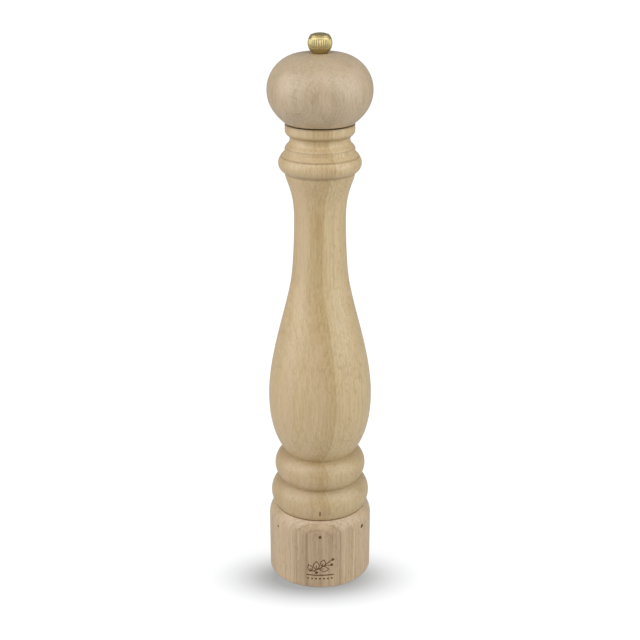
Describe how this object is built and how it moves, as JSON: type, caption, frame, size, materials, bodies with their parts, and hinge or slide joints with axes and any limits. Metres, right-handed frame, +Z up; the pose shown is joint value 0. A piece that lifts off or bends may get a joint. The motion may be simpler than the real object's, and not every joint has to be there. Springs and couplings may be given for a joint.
{
  "type": "pepper mill",
  "caption": "Tall turned wooden pepper mill: a mushroom head turns a steel burr, a marked base ring sets the grind, and a fluted brass nut holds the head.",
  "frame": {"origin": "centre of the base ring's underside, on the surface the mill stands on", "axes": "+Z runs up the mill's axis to the brass nut; -Y is the front, with the index mark; +X is to the right seen from the front"},
  "size_m": [0.0764, 0.0764, 0.4016],
  "materials": {
    "beech_body": "sanded, waxed beech",
    "beech_head": "sanded, waxed beech",
    "beech_ring": "sanded, waxed beech",
    "brass": "satin",
    "steel": "zinc plated",
    "burr_steel": "case-hardened steel",
    "black_nylon": "moulded",
    "white_nylon": "moulded"
  },
  "bodies": {
    "mill": {"mill_body": "beech_body", "housing": "black_nylon", "housing_screws": "steel", "upper_bridge": "steel", "upper_bridge_screws": "steel", "lower_bridge": "steel", "lower_bridge_rivets": "steel", "upper_guide": "white_nylon", "retaining_ring": "steel", "click_ball": "steel", "click_coil": "steel"},
    "adjuster": {"ring_wood": "beech_ring", "ring_insert": "black_nylon", "insert_screws": "steel", "lower_guide": "white_nylon"},
    "stator": {"stator": "burr_steel", "carrier": "black_nylon", "thread_shoes": "brass", "shoe_screws": "steel"},
    "spindle": {"shaft": "steel", "bush": "white_nylon", "upper_seat": "steel", "rotor_spring": "steel", "lower_seat": "steel", "rotor": "burr_steel", "thrust_washer": "brass", "lock_washer": "steel", "rotor_nut": "steel"},
    "head": {"head_wood": "beech_head", "drive_plate": "steel", "drive_screws": "steel"},
    "knob": {"knob": "brass"}
  },
  "joints": [
    {"name": "ring_turn", "type": "hinge", "parent": "mill", "child": "adjuster", "pos_m": [0, 0, 0.03], "axis": [0, 0, 1], "range_deg": [-165, 110]},
    {"name": "stator_slide", "type": "slide", "parent": "mill", "child": "stator", "axis": [0, 0, 1], "range_m": [-0.00095, 0.0014]},
    {"name": "spindle_spin", "type": "hinge", "parent": "mill", "child": "spindle", "pos_m": [0, 0, 0.08], "axis": [0, 0, 1], "continuous": true},
    {"name": "head_lift", "type": "slide", "parent": "spindle", "child": "head", "axis": [0, 0, 1], "range_m": [0, 0.075]},
    {"name": "knob_turn", "type": "hinge", "parent": "head", "child": "knob", "pos_m": [0, 0, 0.395], "axis": [0, 0, 1], "continuous": true}
  ],
  "couplings": [
    {"joint": "stator_slide", "follows": "ring_turn", "m_per_rad": -0.00047746}
  ]
}
